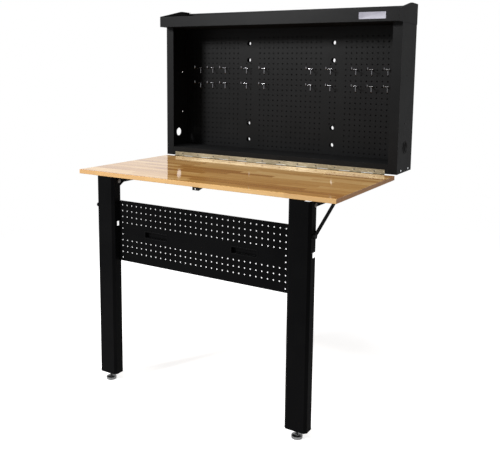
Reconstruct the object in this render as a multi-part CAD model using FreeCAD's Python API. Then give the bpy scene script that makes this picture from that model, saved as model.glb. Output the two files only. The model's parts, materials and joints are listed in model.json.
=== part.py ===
import FreeCAD, Part
import math
import os
from FreeCAD import Vector

# Wall mounted folding workbench, in millimetres.
# Origin: centre of the wall hole pattern, on the wall plane.
# +X to the right of someone facing the bench, +Y into the wall, +Z up.

# ---- driving dimensions -------------------------------------------------

# holes for the wall bolts, and the holes in the pegboard that reach them
wall_hole_columns = 450.0
wall_hole_outer_rows = 470.0
wall_hole_inner_rows = 310.0
wall_hole_radius = 10.0
access_hole_radius = 10.0

# cabinet
cabinet_width = 1200.0
cabinet_depth = 190.0
cabinet_height = 628.0
pattern_above_bottom = 320.0
cabinet_sheet = 1.5
front_flange = 40.0
tray_seat_flange = 20.0
back_flange = 16.0
floor_lip = 40.0
floor_lip_end_gap = 0.5
pegboard_front = 22.0

# pegboard holes: plain strips beside the wall holes, pegs again between the inner ones
peg_pitch = 25.0
peg_hole_radius = 2.75
peg_columns = 46
peg_rows = 22
peg_plain_strip = 50.0

# tray on top of the cabinet
tray_overhang = 50.0
tray_lip = 48.0
tray_hem = 9.0
tray_back = 82.0
tray_end_front = 49.0
tray_end_back = 86.0
tray_end_level = 75.0
tray_end_flange = 10.0
tray_end_flange_start = 15.0

# cable holes with grommets
cable_hole_height = 107.0
cable_hole_radius = 20.0
grommet_wall = 4.0
grommet_rim = 3.5
grommet_rim_thickness = 2.0
grommet_fit = 0.2

# two small holes in each side panel, further forward in the right one
side_hole_radius = 3.0
side_hole_upper = 412.0
side_hole_lower = 210.0
side_hole_left_setback = 62.0
side_hole_right_setback = 112.0

# tool hooks bent from wire
hook_wire_radius = 1.75
hook_leg_radius = 1.5
hook_reach = 50.0
hook_tip = 11.0
hook_tail = 8.0
hook_bend = 4.0
hook_steps = (-20.5, -17.5, -14.5, -9.5, -5.5, 4.5, 8.5, 13.5, 16.5, 19.5)
hook_upper_step = 4.5
hook_lower_step = 1.5

# piano hinge
hinge_length = 1095.0
hinge_sheet = 1.5
hinge_leaf_top = 17.5
hinge_barrel_radius = 5.0
hinge_pin_radius = 3.45
hinge_pin_fit = 0.05
hinge_to_face = 6.0
hinge_drop = 6.0
hinge_knuckles = 21
hinge_knuckle_gap = 0.3
hinge_leaf_clearance = 0.6
hinge_screws = 12
hinge_screw_radius = 3.5
hinge_screw_head = 0.9

# worktop board
worktop_width = 1190.0
worktop_depth = 600.0
worktop_thickness = 18.0
worktop_below_cabinet = 3.0
worktop_edge_round = 2.0
worktop_height = 915.0

# legs: channels folded from sheet, open to the back
leg_from_worktop_end = 95.0
leg_width = 92.0
leg_depth = 45.0
leg_sheet = 2.0
leg_chamfer = 10.0
leg_setback = 1.0
leg_top_gap = 3.0
leg_corner_cut = 6.0
leg_above_floor = 38.0
leg_pivot_drop = 20.0
leg_pivot_from_rear = 8.0
pivot_bolt_radius = 5.0
pivot_head_radius = 8.5
pivot_head = 4.0
pivot_washer_radius = 10.0
bolt_fit = 0.05

# leg brackets under the worktop
bracket_sheet = 3.0
bracket_ear_drop = 29.0
bracket_side_gap = 2.0
bracket_front_land = 14.0
bracket_rear_land = 14.0
bracket_corner = 8.0
bracket_screw_radius = 5.0
bracket_screw_head = 2.5
bracket_screw_spread = 46.0
bracket_screw_shares = (0.15, 0.5, 0.85)

# braces
brace_pin_from_pivot = 180.0
brace_pin_drop = 19.0
brace_stud_drop = 109.0
brace_width = 19.0
brace_sheet = 3.0
brace_stand_off = 5.0
brace_pin_radius = 4.0
brace_head_radius = 8.0
brace_head = 4.4
brace_pin_head = 3.4
brace_side_play = 0.4
brace_slot_play = 0.6
brace_slot_flare = 1.2
brace_spacer_radius = 6.0
stud_collar_radius = 8.0
stud_rivet_head = 1.2
stud_rivet_radius = 6.5
notch_height = 20.0
notch_depth = 22.0

# perforated panel between the legs
panel_height = 255.0
panel_below_worktop = 104.0
panel_from_leg_front = 34.0
panel_sheet = 1.5
panel_flange = 14.0
panel_rows = 10
panel_plain_rows = (4, 5, 9)
panel_edge_to_row = 15.0
panel_end_to_column = 20.5
panel_bolt_radius = 3.0
panel_bolt_head_radius = 4.5
panel_bolt_head = 3.0
panel_bolt_heights = (150.0, 235.0)

# finger pulls in the panel
pull_offset = 210.0
pull_width = 115.0
pull_height = 27.0
pull_depth = 15.0
pull_wall = 1.5
pull_rim = 3.0
pull_rim_thickness = 1.2
pull_corner = 5.0
pull_fit = 0.2

# feet
cap_thickness = 3.0
cap_plug = 12.0
cap_bulge = 0.8
cap_fit = 0.2
cap_hole_fit = 0.12
foot_plate = 4.0
foot_stem_radius = 5.0
foot_stem_fit = 0.06
foot_stem_length = 78.0
foot_pad_radius = 24.0
foot_pad_rim = 5.0
foot_pad_height = 12.0
foot_neck_radius = 9.0
foot_nut_width = 17.0
foot_nut = 6.0

# catch plate under the front edge of the worktop
catch_left = -6.0
catch_width = 46.0
catch_drop = 13.0
catch_foot = 22.0
catch_sheet = 2.0
catch_setback = 4.0
catch_taper = 16.0
catch_hole_radius = 3.0
catch_hole_from_end = 13.0
catch_hole_drop = 7.5

# ---- worked out from them -----------------------------------------------

half_width = cabinet_width / 2
inner_width = half_width - cabinet_sheet
cabinet_bottom = -pattern_above_bottom
cabinet_top = cabinet_bottom + cabinet_height
floor_top = cabinet_bottom + floor_lip
cabinet_front = -cabinet_depth
tray_front = cabinet_front - tray_overhang
pegboard_back_face = -pegboard_front + cabinet_sheet

hinge_y = cabinet_front - hinge_to_face
hinge_z = cabinet_bottom - hinge_drop
worktop_top = cabinet_bottom - worktop_below_cabinet
worktop_bottom = worktop_top - worktop_thickness
worktop_rear = hinge_y - hinge_to_face
worktop_front = worktop_rear - worktop_depth
floor_z = worktop_top - worktop_height

leg_outer = worktop_width / 2 - leg_from_worktop_end
leg_inner = leg_outer - leg_width
leg_centre = (leg_outer + leg_inner) / 2
leg_front = worktop_front + leg_setback
leg_rear = leg_front + leg_depth
leg_middle = (leg_front + leg_rear) / 2
leg_top = worktop_bottom - leg_top_gap
leg_bottom = floor_z + leg_above_floor
pivot_y = leg_rear - leg_pivot_from_rear
pivot_z = worktop_bottom - leg_pivot_drop

bracket_outer = leg_outer - leg_sheet - bracket_side_gap
bracket_inner = leg_inner + leg_sheet + bracket_side_gap

brace_pin_y = pivot_y + brace_pin_from_pivot
brace_pin_z = worktop_bottom - brace_pin_drop
brace_stud_y = leg_middle
brace_stud_z = pivot_z - brace_stud_drop
brace_near = leg_outer + brace_stand_off
brace_far = brace_near + brace_sheet
notch_z = pivot_z - brace_pin_from_pivot

panel_top_z = worktop_bottom - panel_below_worktop
panel_bottom_z = panel_top_z - panel_height
panel_front = leg_front + panel_from_leg_front
panel_rear = panel_front + panel_sheet
panel_columns = 2 * math.floor((leg_inner - panel_end_to_column) / peg_pitch + 0.5)
pull_z = (panel_top_z + panel_bottom_z) / 2


# ---- helpers ------------------------------------------------------------

def block(x, y, z):
    """A box between two values on each axis."""
    size = (abs(x[1] - x[0]), abs(y[1] - y[0]), abs(z[1] - z[0]))
    return Part.makeBox(*size, Vector(min(x), min(y), min(z)))


def rod_x(radius, x, y, z):
    """A round rod along X between two values."""
    return Part.makeCylinder(radius, x[1] - x[0], Vector(x[0], y, z), Vector(1, 0, 0))


def rod_y(radius, x, y, z):
    """A round rod along Y between two values."""
    return Part.makeCylinder(radius, y[1] - y[0], Vector(x, y[0], z), Vector(0, 1, 0))


def rod_z(radius, x, y, z):
    """A round rod along Z between two values."""
    return Part.makeCylinder(radius, z[1] - z[0], Vector(x, y, z[0]))


def face_of(points):
    """A flat face inside a closed polygon."""
    return Part.Face(Part.makePolygon(points + points[:1]))


def plate_x(outline, x):
    """A (y, z) outline extruded along X between two values."""
    return face_of([Vector(x[0], y, z) for y, z in outline]).extrude(Vector(x[1] - x[0], 0, 0))


def plate_z(outline, z):
    """An (x, y) outline extruded along Z between two values."""
    return face_of([Vector(x, y, z[0]) for x, y in outline]).extrude(Vector(0, 0, z[1] - z[0]))


def hexagon_z(width, x, y, z):
    """A hexagon, width across its flats, extruded along Z."""
    corner = width / math.sqrt(3)
    outline = []
    for step in range(6):
        turn = math.radians(60 * step)
        outline.append((x + corner * math.cos(turn), y + corner * math.sin(turn)))
    return plate_z(outline, z)


def fused(shapes):
    """One solid from touching shapes, with the seams taken out."""
    return shapes[0].multiFuse(shapes[1:]).removeSplitter()


def mirrored(shape):
    """The same piece for the left-hand side."""
    return shape.mirror(Vector(0, 0, 0), Vector(1, 0, 0))


def save(shape, node):
    shape.exportStep("parts/" + node + ".step")


def save_pair(shape, name):
    """Save a right-hand piece and its left-hand mirror image."""
    save(shape, "right_" + name)
    save(mirrored(shape), "left_" + name)


# ---- cabinet ------------------------------------------------------------

def side_panel(hole_setback):
    """Folded side: web, front flange and a seat flange under the tray."""
    web = block((inner_width, half_width), (cabinet_front, 0), (cabinet_bottom, cabinet_top))
    flange = block((half_width - front_flange, half_width),
                   (cabinet_front, cabinet_front + cabinet_sheet),
                   (cabinet_bottom, cabinet_top))
    seat = block((half_width - tray_seat_flange, half_width),
                 (cabinet_front, -pegboard_front - cabinet_sheet),
                 (cabinet_top - cabinet_sheet, cabinet_top))
    through = (inner_width - 1, half_width + 1)
    holes = [rod_x(cable_hole_radius + grommet_wall + grommet_fit, through,
                   cabinet_front / 2, cabinet_bottom + cable_hole_height)]
    for height in (side_hole_upper, side_hole_lower):
        holes.append(rod_x(side_hole_radius, through, -hole_setback, cabinet_bottom + height))
    return fused([web, flange, seat]).cut(holes)


def cable_grommet():
    """Snap-in bush: outer rim, barrel and inner rim on one axis."""
    y = cabinet_front / 2
    z = cabinet_bottom + cable_hole_height
    barrel_radius = cable_hole_radius + grommet_wall
    rim_radius = barrel_radius + grommet_rim
    outside = (half_width, half_width + grommet_rim_thickness)
    inside = (inner_width - grommet_rim_thickness, inner_width)
    barrel = rod_x(barrel_radius, (inside[0], outside[1]), y, z)
    rims = [rod_x(rim_radius, outside, y, z), rod_x(rim_radius, inside, y, z)]
    bore = rod_x(cable_hole_radius, (inside[0] - 1, outside[1] + 1), y, z)
    return fused([barrel] + rims).cut(bore)


def wall_hole_centres():
    """The eight wall bolt places as (x, z)."""
    centres = []
    for x in (-wall_hole_columns / 2, wall_hole_columns / 2):
        for rows in (wall_hole_outer_rows, wall_hole_inner_rows):
            centres.append((x, rows / 2))
            centres.append((x, -rows / 2))
    return centres


def back_sheet():
    """Sheet against the wall, with its side edges folded forward."""
    sheet = block((-inner_width, inner_width), (-cabinet_sheet, 0), (cabinet_bottom, cabinet_top))
    flanges = []
    for side in (-1, 1):
        flanges.append(block((side * (inner_width - cabinet_sheet), side * inner_width),
                             (-back_flange, 0), (floor_top, cabinet_top)))
    holes = []
    for x, z in wall_hole_centres():
        holes.append(rod_y(wall_hole_radius, x, (-cabinet_sheet - 1, 1), z))
    return fused([sheet] + flanges).cut(holes)


def hook_places():
    """Peg holes that carry a hook, as (x, z)."""
    rows = (hook_upper_step * peg_pitch, hook_lower_step * peg_pitch)
    return [(step * peg_pitch, z) for z in rows for step in hook_steps]


def peg_places():
    """Centres of the pegboard's small holes, as (x, z)."""
    places = []
    for column in range(peg_columns):
        x = (column - (peg_columns - 1) / 2) * peg_pitch
        from_wall_holes = abs(abs(x) - wall_hole_columns / 2)
        for row in range(peg_rows):
            z = (row - (peg_rows - 1) / 2) * peg_pitch
            between = abs(z) + access_hole_radius < wall_hole_inner_rows / 2
            beside = from_wall_holes < peg_pitch
            if from_wall_holes > peg_plain_strip or (between and beside):
                places.append((x, z))
    return places


def perforated(x, y, z, holes):
    """Sheet between two values on each axis, with round holes (x, z, radius) through it."""
    through = (y[0] - 1, y[1] + 1)
    return block(x, y, z).cut([rod_y(radius, at_x, through, at_z) for at_x, at_z, radius in holes])


def pegboard_back():
    """Pegboard pan: its edges fold back to stand it off the back sheet."""
    side = inner_width - cabinet_sheet
    depth = (-pegboard_front, -cabinet_sheet)
    holes = [(x, z, access_hole_radius) for x, z in wall_hole_centres()]
    holes += [(x, z, peg_hole_radius) for x, z in peg_places()]
    parts = [perforated((-side, side), (-pegboard_front, pegboard_back_face),
                        (floor_top, cabinet_top), holes)]
    parts.append(block((-side, side), depth, (floor_top, floor_top + cabinet_sheet)))
    parts.append(block((-side, side), depth, (cabinet_top - cabinet_sheet, cabinet_top)))
    for sign in (-1, 1):
        parts.append(block((sign * (side - cabinet_sheet), sign * side), depth,
                           (floor_top, cabinet_top)))
    return fused(parts)


def cabinet_floor():
    """Floor pan: plate with its front, side and rear edges folded down."""
    plate_level = (floor_top - cabinet_sheet, floor_top)
    lip_level = (cabinet_bottom, floor_top)
    rear = -cabinet_sheet
    front = cabinet_front + cabinet_sheet
    lip_end = half_width - front_flange - floor_lip_end_gap
    parts = [block((-inner_width, inner_width), (front, rear), plate_level)]
    parts.append(block((-lip_end, lip_end), (cabinet_front, front), lip_level))
    parts.append(block((-inner_width, inner_width), (rear - cabinet_sheet, rear), lip_level))
    for side in (-1, 1):
        parts.append(block((side * (inner_width - cabinet_sheet), side * inner_width),
                           (front, rear), lip_level))
    return fused(parts)


def tray_pan():
    """Tray on top: bottom, front lip with a hem, and back wall."""
    across = (-half_width, half_width)
    inner_front = tray_front + cabinet_sheet
    hem_level = cabinet_top + tray_lip
    bottom = block(across, (tray_front, 0), (cabinet_top, cabinet_top + cabinet_sheet))
    lip = block(across, (tray_front, inner_front), (cabinet_top, hem_level))
    hem = block(across, (tray_front, tray_front + tray_hem), (hem_level - cabinet_sheet, hem_level))
    hem_return = block(across, (tray_front + tray_hem - cabinet_sheet, tray_front + tray_hem),
                       (hem_level - tray_hem, hem_level))
    back = block(across, (-cabinet_sheet, 0), (cabinet_top, cabinet_top + tray_back))
    return fused([bottom, lip, hem, hem_return, back])


def tray_end():
    """End plate: its top edge slopes to the front and folds inward."""
    front_level = cabinet_top + tray_end_front
    back_level = cabinet_top + tray_end_back
    slope = (back_level - front_level) / (-tray_end_level - tray_front)
    start = tray_front + tray_end_flange_start
    start_level = front_level + slope * tray_end_flange_start
    outline = [(0, cabinet_top), (tray_front, cabinet_top), (tray_front, front_level),
               (-tray_end_level, back_level), (0, back_level)]
    fold = [(start, start_level), (-tray_end_level, back_level), (0, back_level),
            (0, back_level - cabinet_sheet), (-tray_end_level, back_level - cabinet_sheet),
            (start, start_level - cabinet_sheet)]
    plate = plate_x(outline, (half_width, half_width + cabinet_sheet))
    flange = plate_x(fold, (half_width - tray_end_flange, half_width))
    return fused([plate, flange])


def bent_wire(radius, bend, start, heading, runs):
    """Round wire in a plane x = constant, as straight runs joined by quarter bends.

    heading is the (y, z) way of the first run. Each run is a length and the turn after
    it: 1 turns anticlockwise seen from +X, -1 clockwise and 0 ends the wire. Lengths
    are measured to the sharp corners.
    """
    at = Vector(start)
    way = Vector(0, heading[0], heading[1])
    pieces = []
    trimmed = 0
    for length, turn in runs:
        straight = length - trimmed - (bend if turn else 0)
        section = Part.Face(Part.Wire(Part.makeCircle(radius, at, way)))
        pieces.append(section.extrude(way * straight))
        at = at + way * straight
        if turn:
            section = Part.Face(Part.Wire(Part.makeCircle(radius, at, way)))
            side = Vector(turn, 0, 0).cross(way)
            pieces.append(section.revolve(at + side * bend, Vector(turn, 0, 0), 90))
            at = at + (way + side) * bend
            way = side
            trimmed = bend
    return fused(pieces)


def tool_hook(x, z):
    """Wire hook: arm from the peg hole to an upturned tip, and a leg to the hole below."""
    wire_y = -pegboard_front - hook_wire_radius - bolt_fit
    tail = Vector(x, -pegboard_front + hook_tail, z)
    arm = bent_wire(hook_wire_radius, hook_bend, tail, (-1, 0),
                    [(tail.y - wire_y + hook_reach, -1), (hook_tip, 0)])
    leg = bent_wire(hook_leg_radius, hook_bend, Vector(x, wire_y, z), (0, -1),
                    [(peg_pitch, 1), (hook_tail, 0)])
    return fused([arm, leg])


def tool_hooks():
    return Part.makeCompound([tool_hook(x, z) for x, z in hook_places()])


# ---- piano hinge --------------------------------------------------------

def knuckle_spans(first):
    """X ranges of every second knuckle, from number first on."""
    pitch = hinge_length / hinge_knuckles
    spans = []
    for number in range(first, hinge_knuckles, 2):
        start = -hinge_length / 2 + number * pitch
        spans.append((start + hinge_knuckle_gap / 2, start + pitch - hinge_knuckle_gap / 2))
    return spans


def hinge_leaf(first, side, outer_edge):
    """Flat leaf with its own knuckles rolled round the pin.

    side is 1 for the leaf on the cabinet and -1 for the leaf on the worktop.
    """
    face = hinge_y + side * hinge_to_face
    inner = face - side * hinge_sheet
    clear = hinge_z + side * (hinge_barrel_radius + hinge_leaf_clearance)
    across = (-hinge_length / 2, hinge_length / 2)
    parts = [block(across, (inner, face), (clear, outer_edge))]
    tangent = hinge_y + side * (hinge_barrel_radius - hinge_sheet)
    bores = []
    for span in knuckle_spans(first):
        parts.append(rod_x(hinge_barrel_radius, span, hinge_y, hinge_z))
        parts.append(block(span, (tangent, face), (hinge_z, clear)))
        bores.append(rod_x(hinge_pin_radius + hinge_pin_fit, span, hinge_y, hinge_z))
    return fused(parts).cut(bores)


def hinge_pin():
    return rod_x(hinge_pin_radius, (-hinge_length / 2, hinge_length / 2), hinge_y, hinge_z)


def hinge_screw_heads():
    """Low screw heads along the upper leaf."""
    pitch = hinge_length / hinge_screws
    leaf_face = cabinet_front - hinge_sheet
    z = cabinet_bottom + hinge_leaf_top / 2
    heads = []
    for number in range(hinge_screws):
        x = -hinge_length / 2 + (number + 0.5) * pitch
        heads.append(rod_y(hinge_screw_radius, x, (leaf_face - hinge_screw_head, leaf_face), z))
    return Part.makeCompound(heads)


# ---- worktop ------------------------------------------------------------

def worktop_board():
    board = block((-worktop_width / 2, worktop_width / 2), (worktop_front, worktop_rear),
                  (worktop_bottom, worktop_top))
    edges = []
    for edge in board.Edges:
        middle = edge.CenterOfMass
        if abs(middle.y - worktop_rear) > worktop_edge_round:
            edges.append(edge)
    return board.makeFillet(worktop_edge_round, edges)


def ear_outline():
    """(y, z) outline of a bracket ear, from the pivot back to the brace pin."""
    front = pivot_y - bracket_front_land
    rear = brace_pin_y + bracket_rear_land
    low = worktop_bottom - bracket_ear_drop
    cut = bracket_corner
    return [(front, worktop_bottom), (front, low + cut), (front + cut, low), (rear - cut, low),
            (rear, low + cut), (rear, worktop_bottom)]


def leg_bracket():
    """U bracket on the underside: base plate and two ears inside the leg."""
    front = pivot_y - bracket_front_land
    rear = brace_pin_y + bracket_rear_land
    base = block((bracket_inner, bracket_outer), (front, rear),
                 (worktop_bottom - bracket_sheet, worktop_bottom))
    ears = [plate_x(ear_outline(), (bracket_inner, bracket_inner + bracket_sheet)),
            plate_x(ear_outline(), (bracket_outer - bracket_sheet, bracket_outer))]
    across = (bracket_inner - 1, bracket_outer + 1)
    holes = [rod_x(pivot_bolt_radius + bolt_fit, across, pivot_y, pivot_z),
             rod_x(brace_pin_radius + bolt_fit, across, brace_pin_y, brace_pin_z)]
    return fused([base] + ears).cut(holes)


def bracket_screws():
    """Screw heads under the base plates, two rows of three on each side."""
    under = worktop_bottom - bracket_sheet
    length = brace_pin_from_pivot
    heads = []
    for side in (-1, 1):
        for x in (leg_centre - bracket_screw_spread / 2, leg_centre + bracket_screw_spread / 2):
            for share in bracket_screw_shares:
                heads.append(rod_z(bracket_screw_radius, side * x, pivot_y + share * length,
                                   (under - bracket_screw_head, under)))
    return Part.makeCompound(heads)


def brace_pin():
    """Pin through both ears, with a low inner head and an outer head."""
    y = brace_pin_y
    z = brace_pin_z
    inner_head = (bracket_inner - brace_pin_head, bracket_inner)
    outer_head = (brace_far + brace_side_play, brace_far + brace_side_play + brace_head)
    return fused([rod_x(brace_pin_radius, (inner_head[0], outer_head[1]), y, z),
                  rod_x(brace_head_radius, inner_head, y, z),
                  rod_x(brace_head_radius, outer_head, y, z)])


def brace_spacer():
    """Sleeve that stands the brace off the bracket."""
    span = (bracket_outer, brace_near - brace_side_play)
    tube = rod_x(brace_spacer_radius, span, brace_pin_y, brace_pin_z)
    return tube.cut(rod_x(brace_pin_radius + bolt_fit, span, brace_pin_y, brace_pin_z))


def catch_plate():
    """Bent keeper under the front edge, its tab tapered at one end."""
    front = worktop_front + catch_setback
    right = catch_left + catch_width
    foot = block((catch_left, right), (front, front + catch_foot),
                 (worktop_bottom - catch_sheet, worktop_bottom))
    tab_outline = [Vector(catch_left, front, worktop_bottom), Vector(right, front, worktop_bottom),
                   Vector(right, front, worktop_bottom - catch_sheet),
                   Vector(right - catch_taper, front, worktop_bottom - catch_drop),
                   Vector(catch_left, front, worktop_bottom - catch_drop)]
    tab = face_of(tab_outline).extrude(Vector(0, catch_sheet, 0))
    hole = rod_y(catch_hole_radius, catch_left + catch_hole_from_end,
                 (front - 1, front + catch_sheet + 1), worktop_bottom - catch_hole_drop)
    return fused([foot, tab]).cut(hole)


# ---- leg frame ----------------------------------------------------------

def leg_outline(grow, chamfer_grow):
    """(x, y) outline of a leg, moved outward by grow on every side but the back."""
    c = leg_chamfer + chamfer_grow
    left = leg_inner - grow
    right = leg_outer + grow
    front = leg_front - grow
    return [(left, leg_rear), (left, front + c), (left + c, front), (right - c, front),
            (right, front + c), (right, leg_rear)]


def chamfer_change(offset):
    """How much a 45 degree chamfer grows when its outline moves out by offset."""
    return offset * (2 - math.sqrt(2))


def leg():
    """Channel with chamfered front corners, bored and notched in its flanges."""
    height = (leg_bottom, leg_top)
    outer = plate_z(leg_outline(0, 0), height)
    hollow = plate_z(leg_outline(-leg_sheet, -chamfer_change(leg_sheet)),
                     (leg_bottom - 1, leg_top + 1))
    channel = outer.cut(hollow)
    across = (leg_inner - 1, leg_outer + 1)
    notch = block(across, (leg_rear - notch_depth, leg_rear + 1),
                  (notch_z - notch_height / 2, notch_z + notch_height / 2))
    cut = leg_corner_cut
    corner = plate_x([(leg_rear - cut, leg_top + 1), (leg_rear - cut, leg_top),
                      (leg_rear, leg_top - cut), (leg_rear + 1, leg_top - cut),
                      (leg_rear + 1, leg_top + 1)], across)
    pivot = rod_x(pivot_bolt_radius + bolt_fit, across, pivot_y, pivot_z)
    stud = rod_x(brace_pin_radius + bolt_fit, (leg_centre, leg_outer + 1),
                 brace_stud_y, brace_stud_z)
    bolts = [rod_x(panel_bolt_radius + bolt_fit, (leg_inner - 1, leg_centre), y, z)
             for y, z in panel_bolt_places()]
    return channel.cut([notch, corner, pivot, stud] + bolts)


def panel_bolt_places():
    """(y, z) of the bolts through one end flange of the panel."""
    y = (panel_rear + leg_rear) / 2
    return [(y, panel_top_z - height) for height in panel_bolt_heights]


def panel_peg_holes():
    """Small holes of the leg panel, as (x, z, radius): plain rows behind the finger pulls."""
    holes = []
    for column in range(panel_columns):
        x = (column - (panel_columns - 1) / 2) * peg_pitch
        end_column = column in (0, panel_columns - 1)
        for row in range(panel_rows):
            if end_column or row not in panel_plain_rows:
                z = panel_top_z - panel_edge_to_row - row * peg_pitch
                holes.append((x, z, peg_hole_radius))
    return holes


def leg_panel():
    """Perforated panel with all four edges folded back."""
    fold = (panel_front, panel_front + panel_flange)
    parts = [perforated((-leg_inner, leg_inner), (panel_front, panel_rear),
                        (panel_bottom_z, panel_top_z), panel_peg_holes()),
             block((-leg_inner, leg_inner), fold, (panel_top_z - panel_sheet, panel_top_z)),
             block((-leg_inner, leg_inner), fold, (panel_bottom_z, panel_bottom_z + panel_sheet))]
    for side in (-1, 1):
        parts.append(block((side * (leg_inner - panel_sheet), side * leg_inner), fold,
                           (panel_bottom_z, panel_top_z)))
    cuts = []
    for side in (-1, 1):
        cuts.append(pull_block(side * pull_offset, 0, (panel_front - 1, panel_rear + 1)))
        span = sorted((side * (leg_inner - panel_sheet - 1), side * (leg_inner + 1)))
        for y, z in panel_bolt_places():
            cuts.append(rod_x(panel_bolt_radius + bolt_fit, span, y, z))
    return fused(parts).cut(cuts)


def pull_block(x, grow, y):
    """Finger pull opening with round corners, grown on every side, along Y."""
    pull = block((x - pull_width / 2 - grow, x + pull_width / 2 + grow), y,
                 (pull_z - pull_height / 2 - grow, pull_z + pull_height / 2 + grow))
    corners = [edge for edge in pull.Edges
               if abs(edge.tangentAt(edge.FirstParameter).y) > 0.5]
    return pull.makeFillet(pull_corner + grow, corners)


def pull_cup():
    """Recessed finger pull: rim on the face of the panel and a closed cup behind."""
    rim_front = panel_front - pull_rim_thickness
    bottom = panel_front + pull_depth
    rim = pull_block(pull_offset, pull_rim, (rim_front, panel_front))
    cup = pull_block(pull_offset, -pull_fit, (panel_front - pull_fit, bottom))
    hollow = pull_block(pull_offset, -pull_fit - pull_wall, (rim_front - 1, bottom - pull_wall))
    return fused([rim, cup]).cut(hollow)


def panel_bolts():
    """Bolts from the panel's end flanges into the legs, with nuts inside the legs."""
    inside = leg_inner - panel_sheet
    nut_start = leg_inner + leg_sheet
    bolts = []
    for y, z in panel_bolt_places():
        head = rod_x(panel_bolt_head_radius, (inside - panel_bolt_head, inside), y, z)
        shank = rod_x(panel_bolt_radius, (inside, nut_start + panel_bolt_head), y, z)
        nut = rod_x(panel_bolt_head_radius, (nut_start, nut_start + panel_bolt_head), y, z)
        bolt = fused([head, shank, nut])
        bolts += [bolt, mirrored(bolt)]
    return Part.makeCompound(bolts)


def pivot_bolt():
    """Bolt through the leg and both bracket ears, headed outside, with a nut inside."""
    head = rod_x(pivot_head_radius, (leg_outer, leg_outer + pivot_head), pivot_y, pivot_z)
    shank = rod_x(pivot_bolt_radius, (leg_inner - pivot_head, leg_outer), pivot_y, pivot_z)
    nut = rod_x(pivot_head_radius, (leg_inner - pivot_head, leg_inner), pivot_y, pivot_z)
    return fused([head, shank, nut])


def pivot_washers():
    """Nylon washers that fill the gap between each flange and its ear."""
    washers = []
    for flange_face, ear_face in ((leg_inner + leg_sheet, bracket_inner),
                                  (leg_outer - leg_sheet, bracket_outer)):
        toward = 1 if ear_face > flange_face else -1
        span = sorted((flange_face, ear_face - toward * bolt_fit))
        washer = rod_x(pivot_washer_radius, span, pivot_y, pivot_z)
        washer = washer.cut(rod_x(pivot_bolt_radius + bolt_fit, span, pivot_y, pivot_z))
        washers += [washer, mirrored(washer)]
    return Part.makeCompound(washers)


def brace_stud():
    """Headed stud riveted into the leg's outer flange for the brace to hook over."""
    y = brace_stud_y
    z = brace_stud_z
    inside = leg_outer - leg_sheet
    head = (brace_far + brace_side_play, brace_far + brace_side_play + brace_head)
    return fused([rod_x(stud_rivet_radius, (inside - stud_rivet_head, inside), y, z),
                  rod_x(brace_pin_radius, (inside, head[1]), y, z),
                  rod_x(stud_collar_radius, (leg_outer, brace_near - brace_side_play), y, z),
                  rod_x(brace_head_radius, head, y, z)])


def leg_cap():
    """Plastic cap under the leg with a plug inside the channel."""
    outline = leg_outline(cap_bulge, chamfer_change(cap_bulge))
    cap = plate_z(outline, (leg_bottom - cap_thickness, leg_bottom))
    inset = leg_sheet + cap_fit
    plug = plate_z(leg_outline(-inset, -chamfer_change(inset)), (leg_bottom, leg_bottom + cap_plug))
    hole = rod_z(foot_stem_radius + cap_hole_fit, leg_centre, leg_middle,
                 (leg_bottom - cap_thickness - 1, leg_bottom + cap_plug + 1))
    return fused([cap, plug]).cut(hole)


def foot_plate_in_leg():
    """Threaded plate welded across the leg above the cap."""
    inset = leg_sheet
    low = leg_bottom + cap_plug
    plate = plate_z(leg_outline(-inset, -chamfer_change(inset)), (low, low + foot_plate))
    return plate.cut(rod_z(foot_stem_radius + foot_stem_fit, leg_centre, leg_middle,
                           (low - 1, low + foot_plate + 1)))


def foot_lock_nut():
    """Hexagon nut that locks the foot under the cap."""
    top = leg_bottom - cap_thickness
    nut = hexagon_z(foot_nut_width, leg_centre, leg_middle, (top - foot_nut, top))
    return nut.cut(rod_z(foot_stem_radius + foot_stem_fit, leg_centre, leg_middle,
                         (top - foot_nut - 1, top + 1)))


def levelling_foot():
    """Round foot: rimmed pad, tapered neck and threaded stem in one piece."""
    pad_top = floor_z + foot_pad_height
    outline = [(0, floor_z), (foot_pad_radius, floor_z), (foot_pad_radius, floor_z + foot_pad_rim),
               (foot_neck_radius, pad_top), (foot_stem_radius, pad_top),
               (foot_stem_radius, pad_top + foot_stem_length), (0, pad_top + foot_stem_length)]
    profile = face_of([Vector(leg_centre + r, leg_middle, z) for r, z in outline])
    return profile.revolve(Vector(leg_centre, leg_middle, 0), Vector(0, 0, 1), 360)


# ---- braces -------------------------------------------------------------

def brace_slot_direction():
    """Unit (y, z) way in which the stud leaves the brace as the leg starts to fold."""
    leg_arm = (brace_stud_y - pivot_y, brace_stud_z - pivot_z)
    brace_arm = (brace_stud_y - brace_pin_y, brace_stud_z - brace_pin_z)
    lift = math.atan2(-brace_arm[1], -brace_arm[0]) / (math.pi / 2)
    y = -leg_arm[1] - lift * brace_arm[1]
    z = leg_arm[0] + lift * brace_arm[0]
    length = math.hypot(y, z)
    return y / length, z / length


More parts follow.
